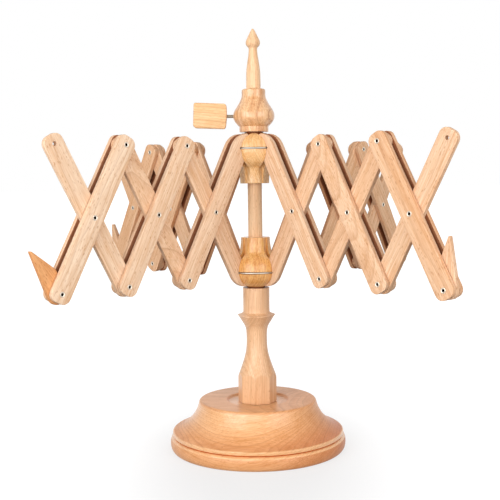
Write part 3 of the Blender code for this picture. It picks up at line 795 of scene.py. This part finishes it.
class SWIFT_OT_lock(bpy.types.Operator):
    """Turns the lock cap and makes its screw and thumb knob"""
    bl_idname = "yarn_swift.lock"
    bl_label = "Lock"

    def execute(self, context):
        turning = context.scene.swift_turning
        cap = turn("turned_lock_cap", outline_points(CAP_RUNS, turning.ease), turning.sides)
        deselect()
        bpy.ops.mesh.primitive_cylinder_add(
            vertices=24, radius=2.6 * MM, depth=40 * MM,
            location=(-20 * MM, 0, SCREW_Z * MM), rotation=(0, math.pi / 2, 0))
        drill = bpy.context.object
        apply_place(drill)
        cut(cap, drill)
        # Varnished cap wood: upright brown streaks under a soft gloss
        finish = wood("streaked_cap_wood", ("#f3c593", "#bd7739", "#8a4c1a"), ring=6.5,
                      wander=0.7, contrast=0.9, lines=0.65, streak=2.6, roughness=0.34,
                      varnish=1.0, axis=(0.01, 0.02, 1), heart=(-110, 25, 0))
        finish_piece(cap, finish, 25)
        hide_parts("lock_cap")
        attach(cap, "lock_cap")
        self.make_screw()
        self.make_knob()
        return {"FINISHED"}

    def make_screw(self):
        """A tooth of the thread is drawn once and run along the rod by a Screw modifier."""
        pitch, root, crest = 0.8, 1.85, 2.25
        teeth, tip = 48, -9.3
        deselect()
        bpy.ops.mesh.primitive_plane_add(size=MM, location=(root * MM, 0, 0))
        screw = bpy.context.object
        screw.name = "lock_screw_thread"
        apply_place(screw)
        edit(screw)
        bpy.ops.mesh.select_all(action="SELECT")
        bpy.ops.mesh.merge(type="CENTER")
        for out, up in ((crest - root, 0.35), (0, 0.1), (root - crest, 0.35)):
            bpy.ops.mesh.extrude_region_move(
                TRANSFORM_OT_translate={"value": (out * MM, 0, up * pitch * MM)})
        bpy.ops.object.mode_set(mode="OBJECT")
        modifier = screw.modifiers.new("Thread", "SCREW")
        modifier.axis = "Z"
        modifier.screw_offset = pitch * MM
        modifier.steps = modifier.render_steps = 20
        modifier.iterations = teeth
        modifier.use_merge_vertices = True
        modifier.merge_threshold = DOUBLE
        bpy.ops.object.modifier_apply(modifier=modifier.name)
        edit(screw)
        bpy.ops.mesh.select_all(action="SELECT")
        bpy.ops.mesh.remove_doubles(threshold=0.02 * MM)
        bpy.ops.mesh.select_all(action="DESELECT")
        bpy.ops.mesh.select_non_manifold(use_wire=False, use_multi_face=False,
                                         use_non_contiguous=False, use_verts=False)
        bpy.ops.mesh.edge_face_add()
        tidy_mesh()
        bpy.ops.object.mode_set(mode="OBJECT")
        screw.matrix_world = (Matrix.Translation((tip * MM, 0, SCREW_Z * MM))
                              @ Matrix.Rotation(-math.pi / 2, 4, "Y"))
        # The screw is plated as the eyelets are
        finish_piece(screw, eyelet_finish(), 40)
        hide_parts("lock_screw")
        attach(screw, "lock_screw")

    def make_knob(self):
        """A flat paddle, bowed where the screw goes in and with one corner cut lower."""
        near, far, half, thick, bow = -33.9, -75.9, 15.8, 10.0, 1.3
        centre = (near + far) / 2
        deselect()
        bpy.ops.mesh.primitive_cube_add(
            size=1, location=(centre * MM, 0, SCREW_Z * MM),
            scale=((near - far) * MM, thick * MM, 2 * half * MM))
        knob = bpy.context.object
        knob.name = "thumb_knob"
        apply_place(knob)
        edit(knob)
        face = (near - 0.1) * MM
        pick(knob, "EDGE", lambda middle, along: middle.x > face and abs(along.z) > 0.9)
        bpy.ops.mesh.subdivide(number_cuts=7)
        # Nine level edges across the near face, each drawn back by its height
        for level in range(9):
            share = level / 4 - 1
            height = (SCREW_Z + share * half) * MM
            pick(knob, "EDGE", lambda middle, along, height=height: middle.x > face
                 and abs(along.y) > 0.9 and abs(middle.z - height) < 0.1 * MM)
            bpy.ops.transform.translate(value=(-bow * share ** 2 * MM, 0, 0))
        for right, upper, size in ((1, 1, 3.2), (1, -1, 2.6), (-1, 1, 2.4), (-1, -1, 4.6)):
            pick(knob, "EDGE", lambda middle, along, right=right, upper=upper:
                 abs(along.y) > 0.9 and right * (middle.x - centre * MM) > 18 * MM
                 and upper * (middle.z - SCREW_Z * MM) > 15.5 * MM)
            bpy.ops.mesh.bevel(offset=size * MM, segments=6, affect="EDGES")
        pick(knob, "EDGE", lambda middle, along:
             abs(abs(middle.y) - thick / 2 * MM) < 0.01 * MM and abs(along.y) < 0.1)
        bpy.ops.mesh.bevel(offset=1.5 * MM, segments=4, affect="EDGES")
        tidy_mesh()
        bpy.ops.object.mode_set(mode="OBJECT")
        tilt = Matrix.Rotation(math.radians(2.6), 4, "Y")
        entry = Matrix.Translation((near * MM, 0, SCREW_Z * MM))
        knob.matrix_world = entry @ tilt @ entry.inverted()
        # Knob beech with level grain: wavy brown lines on a pale ground
        finish = wood("level_grained_beech", ("#f3c898", "#dba873", "#ad7340"), ring=3.0,
                      wander=3.4, contrast=0.9, lines=0.9, roughness=0.46,
                      axis=(1, 0.1, -0.03), heart=(-50, 14, 395))
        finish_piece(knob, finish, 30)
        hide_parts("lock_knob")
        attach(knob, "lock_screw")


def rounded_end(sizes, pivot):
    """Outline of a slat's end with two round corners, beyond an end pivot's height."""
    corner = sizes.corner
    side = sizes.width / 2 - corner
    centre = pivot + END_MARGIN - corner
    return arc((side, centre), corner, 0, 90) + arc((-side, centre), corner, 90, 180)


def trimmed_end(sizes, pivot):
    """Outline of a slat's end in a hub, trimmed along the hub's round crown.

    The long sweep and the small tip follow the ends that show in the crown's slots.
    """
    sweep = arc((-15 * MM, pivot - 2 * MM), 27 * MM, 0, 58)
    tip = arc((-2.1 * MM, pivot + 19.3 * MM), 1.7 * MM, 62, 118, 3)
    return sweep + tip + [(-sizes.width / 2, pivot + 14.6 * MM)]


def model_slat(name, hub, holes):
    """One slat along Z with its middle pivot at the origin.

    hub is 1 or -1 where its upper or lower end is in a hub, and 0 where neither is. holes
    are the radii in mm of its lower, middle and upper holes.
    """
    sizes = bpy.context.scene.swift_slats
    reaches = [sizes.hub_reach if end == hub else sizes.reach for end in (-1, 1)]
    ends = [trimmed_end(sizes, reach) if end == hub else rounded_end(sizes, reach)
            for end, reach in zip((-1, 1), reaches)]
    outline = ends[1] + [(x, -z) for x, z in reversed(ends[0])]
    slat = saw_board(name, outline, sizes)
    drill_holes(slat, zip((-reaches[0], 0, reaches[1]), holes))
    return slat


def drill_holes(item, holes):
    """Drills through a board at each (height, radius in mm) on its middle line."""
    for height, radius in holes:
        deselect()
        bpy.ops.mesh.primitive_cylinder_add(
            vertices=28, radius=radius * MM, depth=30 * MM, location=(0, 0, height),
            rotation=(math.pi / 2, 0, 0))
        drill = bpy.context.object
        apply_place(drill)
        cut(item, drill)


def mark_wood(item, seed, warmth, shaded_sides=(), flamed=False):
    """Writes where a board lay in its log in mm, how warm its wood is and where shade is painted
    on it.

    The sides given, 1 or -1 along Y, lie against another board and are painted dark, as shade in
    the slit between them, and a flamed board was sawn near the bark, so that its rings make long
    arches.
    """
    # The heart lay 45 to 120 mm from the board, which came from anywhere along the log
    chance = random.Random(seed)
    around = chance.uniform(0, math.tau)
    away = chance.uniform(45, 120)
    heart = Vector((away * math.cos(around), away * math.sin(around),
                    chance.uniform(-2000, 2000)))
    lean = Vector((chance.uniform(-0.03, 0.03), chance.uniform(-0.03, 0.03), 1))
    if flamed:
        heart.xy = (5, 24)
        lean = Vector((0.02, 0.13, 1))
    turned = lean.rotation_difference(Vector((0, 0, 1))).to_matrix()
    mesh = item.data
    for name, kind in (("log_place", "FLOAT_VECTOR"), ("warmth", "FLOAT")):
        if name not in mesh.attributes:
            mesh.attributes.new(name, kind, "POINT")
    places = mesh.attributes["log_place"].data
    tones = mesh.attributes["warmth"].data
    for point, place, tone in zip(mesh.vertices, places, tones):
        place.vector = turned @ (point.co / MM - heart)
        tone.value = warmth
    if "stain" not in mesh.attributes:
        mesh.attributes.new("stain", "FLOAT", "FACE")
    # Painted shade: the narrow rims are a little darker than the faces, and a face that lies
    # against another board is much darker, as the slit between them is in shade
    for face, stain in zip(mesh.polygons, mesh.attributes["stain"].data):
        rim = abs(face.normal.y) < 0.5
        stain.value = 0.12 if rim else 0.85 * (round(face.normal.y) in shaded_sides)


def hinge_heading(joint):
    """Turns Y to a joint's level hinge."""
    x, y, _ = joint["axis"]
    return Matrix.Rotation(math.atan2(-x, y), 4, "Z")


def slat_frame(arm, number, outward):
    """A slat's place: Z along it, Y along the hinges, its middle pivot where it crosses."""
    start = Vector(JOINTS[arm + "_fold_" + number]["pos_m"])
    middle = Vector(JOINTS[arm + "_cross_" + number]["pos_m"])
    hinge = Vector(JOINTS[arm + "_cross_" + number]["axis"])
    run = middle - start
    along = Vector((run.x * outward, run.y * outward, run.z)).normalized()
    side = hinge.cross(along)
    turned = Matrix((side, hinge, along)).transposed().to_4x4()
    return turned, middle, hinge


# How warm each slat's wood is, from 0 for the palest: the rising slat and the two falling
# slats of each cell, from the hub outwards
WARMTHS = {
    "front_left": ((0.3, 0.15, 0.2), (0.35, 0.1, 0.25), (0.1, 0.0, 0.2)),
    "front_right": ((0.35, 0.3, 0.25), (0.4, 0.25, 0.35), (0.3, 0.4, 0.45)),
    "back_right": ((0.45, 0.35, 0.3), (0.5, 0.55, 0.35), (0.4, 0.6, 0.4)),
    "back_left": ((0.4, 0.45, 0.5), (0.3, 0.5, 0.45), (0.45, 0.5, 0.4)),
}

# The slats whose rings show as long arches
FLAMED = ("front_right_fall_slat_2_left", "front_right_fall_slat_2_right",
          "front_left_rise_slat_2", "back_left_fall_slat_1_left")


class SWIFT_OT_slats(bpy.types.Operator):
    """Makes the thirty-six slats of the four arms"""
    bl_idname = "yarn_swift.slats"
    bl_label = "Slats"

    def execute(self, context):
        # Hole radii in mm, for the eyelets and for the rings' wire
        rivet, wire = 2.5, 1.75
        patterns = {
            "rise_first": model_slat("rise_first", -1, (wire, rivet, rivet)),
            "rise": model_slat("rise", 0, (rivet, rivet, rivet)),
            "fall_first": model_slat("fall_first", 1, (rivet, rivet, wire)),
        }
        finish = slat_finish()
        # From one layer of slats to the next: a slat's thickness and the gap
        step = 6.3 * MM
        seed = 0
        for arm in ARMS:
            for cell in CELLS:
                number = str(cell)
                tones = WARMTHS[arm][cell - 1]
                pieces = (("_rise_slat_" + number, "_rise_" + number, 1, 0, "rise", tones[0]),
                          ("_fall_slat_" + number + "_left", "_fall_" + number, -1, 1, "fall",
                           tones[1]),
                          ("_fall_slat_" + number + "_right", "_fall_" + number, -1, -1, "fall",
                           tones[2]))
                for node, body, outward, side, kind, warmth in pieces:
                    turned, middle, hinge = slat_frame(arm, number, outward)
                    place = Matrix.Translation(middle + hinge * side * step) @ turned
                    first = cell == 1
                    pattern = patterns[kind + "_first"] if first else patterns["rise"]
                    seed += 1
                    mark_wood(pattern, seed, warmth, (-side,), arm + node in FLAMED)
                    item = copy_piece(pattern, "board_" + arm + node, place)
                    finish_piece(item, finish, 35)
                    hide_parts(arm + node)
                    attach(item, arm + body)
        for pattern in patterns.values():
            bpy.data.objects.remove(pattern, do_unlink=True)
        return {"FINISHED"}


class SWIFT_OT_eyelets(bpy.types.Operator):
    """Rolls the tubular rivets that the slats turn on"""
    bl_idname = "yarn_swift.eyelets"
    bl_label = "Eyelets"

    def execute(self, context):
        # The bore's, the shank's and the rolled rim's radius, and the slats' outer face
        bore, shank, rim, face = 1.5, 2.25, 3.15, 9.3
        half = [(shank, face - 0.6), (shank + 0.05, face - 0.05), (shank + 0.35, face + 0.04),
                (rim - 0.3, face + 0.04), (rim, face + 0.18), (rim - 0.05, face + 0.4),
                (rim - 0.45, face + 0.6), (shank + 0.45, face + 0.72),
                (bore + 0.45, face + 0.66), (bore + 0.14, face + 0.4), (bore, face - 0.1)]
        outline = [(radius * MM, along * MM) for radius, along in half]
        outline += [(radius, -along) for radius, along in reversed(outline)]
        pattern = turn("eyelet", outline, 32)
        inside = pattern.data.attributes.new("bore", "FLOAT", "POINT")
        for point, value in zip(pattern.data.vertices, inside.data):
            value.value = 1.0 if point.co.xy.length < (bore + 0.1) * MM else 0.0
        finish = eyelet_finish()
        lie_down = Matrix.Rotation(-math.pi / 2, 4, "X")
        for arm in ARMS:
            places = []
            for cell in CELLS:
                number = str(cell)
                foot = Vector(JOINTS[arm + "_fold_" + number]["pos_m"])
                middle = Vector(JOINTS[arm + "_cross_" + number]["pos_m"])
                body = arm + "_rise_" + number
                places.append((middle, body))
                if cell > 1:
                    places.append((foot, body))
                if cell < CELLS[-1]:
                    end = (middle - foot).normalized() * context.scene.swift_slats.reach
                    places.append((middle + end, body))
            places.append((Vector(JOINTS[arm + "_peg_turn"]["pos_m"]), arm + "_fall_3"))
            turned = hinge_heading(JOINTS[arm + "_cross_1"]) @ lie_down
            for count, (place, body) in enumerate(places, 1):
                item = copy_piece(pattern, arm + "_eyelet_" + str(count),
                                  Matrix.Translation(place) @ turned)
                finish_piece(item, finish, 50)
                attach(item, body)
                if body.endswith("fall_3"):
                    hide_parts(arm + "_tip_rivet")
        bpy.data.objects.remove(pattern, do_unlink=True)
        return {"FINISHED"}


# Each peg's lean outward from upright in degrees, the side of its long flank, with 1 for
# outward, and how warm its wood is
PEGS = {
    "front_left": (34, 1, 1.0),
    "front_right": (2.3, 1, 0.3),
    "back_right": (20, 1, 0.5),
    "back_left": (20.6, -1, 0.45),
}


class SWIFT_OT_pegs(bpy.types.Operator):
    """Saws the four pointed pegs that hold the yarn"""
    bl_idname = "yarn_swift.pegs"
    bl_label = "Pegs"

    def execute(self, context):
        sizes = context.scene.swift_slats
        finish = slat_finish()
        for count, arm in enumerate(ARMS):
            lean, long_side, warmth = PEGS[arm]
            joint = JOINTS[arm + "_peg_turn"]
            place = (Matrix.Translation(joint["pos_m"]) @ hinge_heading(joint)
                     @ Matrix.Rotation(math.radians(lean), 4, "Y"))
            item = self.model_peg("board_" + arm + "_peg", long_side, sizes)
            mark_wood(item, 100 + count, warmth)
            item.matrix_world = place
            finish_piece(item, finish, 35)
            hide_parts(arm + "_peg")
            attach(item, arm + "_peg")
        return {"FINISHED"}

    def model_peg(self, name, long_side, sizes):
        """A short board sawn to a point, with a long flank and a short one."""
        half, corner = sizes.width / 2, sizes.corner
        low, high, top = 4 * MM, 25 * MM, 56.5 * MM
        side, bottom = half - corner, corner - END_MARGIN
        point = 0.9 * MM
        outline = [(half, low)]
        outline += arc((0, top - point), point, 10, 160, 5)
        outline += [(-half, high)]
        outline += arc((-side, bottom), corner, 180, 270) + arc((side, bottom), corner, 270, 360)
        peg = saw_board(name, [(long_side * x, z) for x, z in outline], sizes)
        drill_holes(peg, [(0, 2.5)])
        return peg


class SWIFT_OT_studio(bpy.types.Operator):
    """Sets up the floor, the lamps and the camera"""
    bl_idname = "yarn_swift.studio"
    bl_label = "Studio"

    def execute(self, context):
        studio = context.scene.swift_studio
        scene = context.scene
        scene.view_settings.view_transform = "Standard"
        self.make_floor()
        self.make_surround(scene, studio)
        distance, aim = 1.5, Vector((0, 0, 0.28))
        for name, azimuth, height, power, size in (
                ("key_lamp", -42, 0.6, studio.key, 1.1),
                ("fill_lamp", 41, 0.58, studio.fill, 1.1),
                ("front_lamp", -10, 0.2, studio.front, 1.0),
                ("back_lamp", 178, 0.28, studio.back, 1.0)):
            deselect()
            angle = math.radians(azimuth)
            place = Vector((distance * math.sin(angle), -distance * math.cos(angle), height))
            turned = (aim - place).to_track_quat("-Z", "Y").to_euler()
            bpy.ops.object.light_add(type="AREA", location=place, rotation=turned)
            lamp = context.object
            lamp.name = name
            lamp.data.name = name
            lamp.data.shape = "RECTANGLE"
            lamp.data.size = size
            lamp.data.size_y = size * 1.3
            lamp.data.energy = power
            # The lamp behind would glare in the base's varnish, as seen from the front
            lamp.visible_glossy = name != "back_lamp"
        self.make_camera(scene, studio)
        return {"FINISHED"}

    def make_floor(self):
        """A large pale sweep of paper that is white to the eye, keeps a soft shadow, and has a
        painted shadow round the foot.
        """
        deselect()
        bpy.ops.mesh.primitive_plane_add(size=60)
        floor = bpy.context.object
        floor.name = "studio_floor"
        edit(floor)
        bpy.ops.mesh.select_all(action="SELECT")
        bpy.ops.mesh.subdivide(number_cuts=10)
        bpy.ops.object.mode_set(mode="OBJECT")
        # Matt white paper with a faint tooth
        material, tree = new_material("white_studio_paper")
        tooth = texture(tree, "TexNoise", place_in_mm(tree), (2, 2, 2), {"Detail": 3.0})
        colour = add_node(tree, "Mix", {0: tooth, 6: srgb("#7e7e7f"), 7: srgb("#868687")},
                          out=2, data_type="RGBA")
        # Painted shadow: the paper glows less in a soft patch round the foot, so it is grey
        # there, and its real shadow shows in it too
        painted_shadow_pool = add_node(tree, "VectorMath",
                        {0: add_node(tree, "TexCoord", out="Object"), 1: (1, 0.5, 1),
                         2: (0, 0.05, 0)}, operation="MULTIPLY_ADD")
        painted_shadow_pool = add_node(tree, "VectorMath", {0: painted_shadow_pool}, out="Value", operation="LENGTH")
        near = add_node(tree, "MapRange", {0: painted_shadow_pool, 1: 0.04, 2: 0.25, 3: 0.66, 4: 0.89},
                        interpolation_type="SMOOTHSTEP")
        far = add_node(tree, "MapRange", {0: painted_shadow_pool, 1: 0.2, 2: 0.5, 3: 0.0, 4: 0.11})
        shade = add_node(tree, "Math", {0: near, 1: far}, operation="ADD")
        glow = add_node(tree, "Math", {0: self.seen(tree), 1: shade}, operation="MULTIPLY")
        shader = add_node(tree, "BsdfPrincipled",
                          {"Base Color": colour, "Roughness": 0.9, "Specular IOR Level": 0.1,
                           "Emission Color": (1, 1, 1, 1), "Emission Strength": glow})
        add_node(tree, "OutputMaterial", {"Surface": shader})
        floor.data.materials.append(material)

    def seen(self, tree):
        """1 where the camera looks, also by way of a gloss, and 0 where only light goes."""
        rays = add_node(tree, "LightPath").node.outputs
        mirrored = add_node(tree, "Math", {0: rays["Is Glossy Ray"],
                                           1: rays["Is Transmission Ray"]},
                            operation="MAXIMUM")
        return add_node(tree, "Math", {0: rays["Is Camera Ray"], 1: mirrored},
                        operation="MAXIMUM")

    def make_surround(self, scene, studio):
        """Even light from all round, and plain white where the camera sees past the floor."""
        world = bpy.data.worlds.new("studio_surround")
        scene.world = world
        world.use_nodes = True
        tree = world.node_tree
        tree.nodes.clear()
        soft, white = [add_node(tree, "Background", {"Color": (1, 1, 1, 1),
                                                     "Strength": strength})
                       for strength in (studio.surround, 1.0)]
        both = add_node(tree, "MixShader", {0: self.seen(tree), 1: soft, 2: white})
        add_node(tree, "OutputWorld", {"Surface": both})

    def make_camera(self, scene, studio):
        """The photograph's view: level with the arms, a little above, and rolled slightly."""
        deselect()
        distance, height = 1.16516, 0.34261
        aside, yaw, down, roll = [math.radians(angle) for angle in (1.28, 1.63, 4.4, -0.8)]
        turned = (Matrix.Rotation(yaw, 3, "Z") @ Matrix.Rotation(math.pi / 2 - down, 3, "X")
                  @ Matrix.Rotation(roll, 3, "Z"))
        bpy.ops.object.camera_add(
            location=(distance * math.sin(aside), -distance * math.cos(aside), height),
            rotation=turned.to_euler())
        camera = bpy.context.object
        camera.name = "photo_camera"
        camera.data.lens = studio.lens
        camera.data.sensor_width = 36
        camera.data.clip_end = 100
        scene.camera = camera


PIECES = (SWIFT_OT_base, SWIFT_OT_column, SWIFT_OT_spindle, SWIFT_OT_hubs, SWIFT_OT_rings,
          SWIFT_OT_lock, SWIFT_OT_slats, SWIFT_OT_eyelets, SWIFT_OT_pegs, SWIFT_OT_studio)


class SWIFT_PT_panel(bpy.types.Panel):
    """Lists the swift's settings and its pieces"""
    bl_idname = "SWIFT_PT_panel"
    bl_label = "Yarn Swift"
    bl_space_type = "VIEW_3D"
    bl_region_type = "UI"
    bl_category = "Yarn Swift"

    def draw(self, context):
        layout = self.layout
        scene = context.scene
        for settings in (scene.swift_slats, scene.swift_turning, scene.swift_studio):
            box = layout.box()
            for name in settings.__annotations__:
                box.prop(settings, name)
        for piece in PIECES:
            layout.operator(piece.bl_idname)


CLASSES = (SwiftSlats, SwiftTurning, SwiftStudio, *PIECES, SWIFT_PT_panel)


def register():
    """Adds the operators, the panel and the settings."""
    for item in CLASSES:
        bpy.utils.register_class(item)
    bpy.types.Scene.swift_slats = bpy.props.PointerProperty(type=SwiftSlats)
    bpy.types.Scene.swift_turning = bpy.props.PointerProperty(type=SwiftTurning)
    bpy.types.Scene.swift_studio = bpy.props.PointerProperty(type=SwiftStudio)


def unregister():
    """Takes the settings, the panel and the operators out again."""
    del bpy.types.Scene.swift_studio
    del bpy.types.Scene.swift_turning
    del bpy.types.Scene.swift_slats
    for item in reversed(CLASSES):
        bpy.utils.unregister_class(item)


def main():
    """Makes every piece and the studio."""
    register()
    bpy.ops.yarn_swift.base()
    bpy.ops.yarn_swift.column()
    bpy.ops.yarn_swift.spindle()
    bpy.ops.yarn_swift.hubs()
    bpy.ops.yarn_swift.rings()
    bpy.ops.yarn_swift.lock()
    bpy.ops.yarn_swift.slats()
    bpy.ops.yarn_swift.eyelets()
    bpy.ops.yarn_swift.pegs()
    bpy.ops.yarn_swift.studio()
    deselect()


if __name__ == "__main__":
    main()
